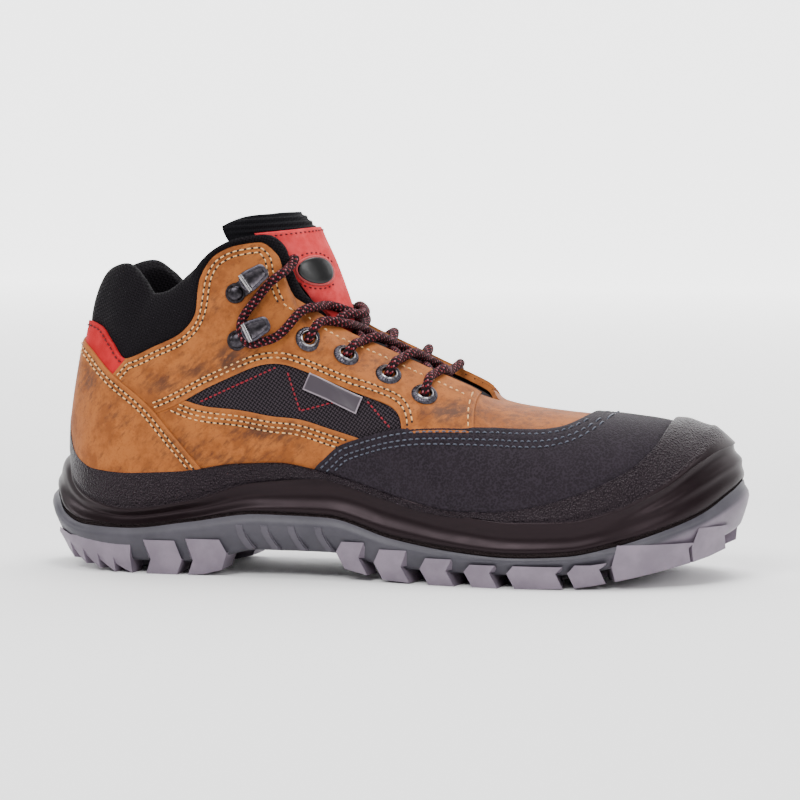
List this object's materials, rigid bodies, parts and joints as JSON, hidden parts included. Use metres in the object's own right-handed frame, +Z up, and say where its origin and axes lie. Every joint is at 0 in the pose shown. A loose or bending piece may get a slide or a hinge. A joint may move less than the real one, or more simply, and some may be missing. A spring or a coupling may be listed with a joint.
{
  "type": "safety boot",
  "caption": "Low-cut laced work boot for the right foot, with a hollow leather upper, padded collar and tongue, a moulded toe cap and a lugged sole.",
  "frame": {"origin": "centre of the boot's footprint box, on the floor under the tread", "axes": "+X to the toe, +Y to the inner side of the foot, +Z up"},
  "size_m": [0.3072, 0.109, 0.154],
  "materials": {
    "grey_rubber": "moulded blue-grey rubber, satin",
    "black_polyurethane": "moulded black polyurethane, part grained and part gloss",
    "tan_leather": "waxed tan nubuck with darker scuffs",
    "lining": "black lining fabric",
    "black_textile": "black woven textile over foam",
    "dark_nubuck": "fine-grained violet-black nubuck",
    "coral_suede": "coral-red suede",
    "gunmetal": "gunmetal-plated brass, satin",
    "badge": "gloss black moulded badge, bare",
    "tag": "grey film tag with a pale edge, bare",
    "lace": "round braid, black and dark red with red and pale flecks"
  },
  "bodies": {
    "root": {"outsole": "grey_rubber", "midsole": "black_polyurethane", "upper": "tan_leather", "insole": "lining", "tongue": "black_textile", "collar": "black_textile", "mudguard": "dark_nubuck", "heel_counter": "tan_leather", "heel_tab": "coral_suede", "quarter_lateral": "tan_leather", "lower_quarter_lateral": "tan_leather", "eyelet_lateral_1": "gunmetal", "eyelet_lateral_2": "gunmetal", "eyelet_lateral_3": "gunmetal", "eyelet_lateral_4": "gunmetal", "hook_lateral_1": "gunmetal", "hook_lateral_2": "gunmetal", "quarter_medial": "tan_leather", "lower_quarter_medial": "tan_leather", "eyelet_medial_1": "gunmetal", "eyelet_medial_2": "gunmetal", "eyelet_medial_3": "gunmetal", "eyelet_medial_4": "gunmetal", "hook_medial_1": "gunmetal", "hook_medial_2": "gunmetal", "tongue_patch": "coral_suede", "tongue_badge": "badge", "side_tag": "tag", "lace_bar": "lace", "lace_cross_1": "lace", "lace_cross_2": "lace", "lace_cross_3": "lace", "lace_end_lateral": "lace", "lace_end_medial": "lace"}
  },
  "joints": []
}
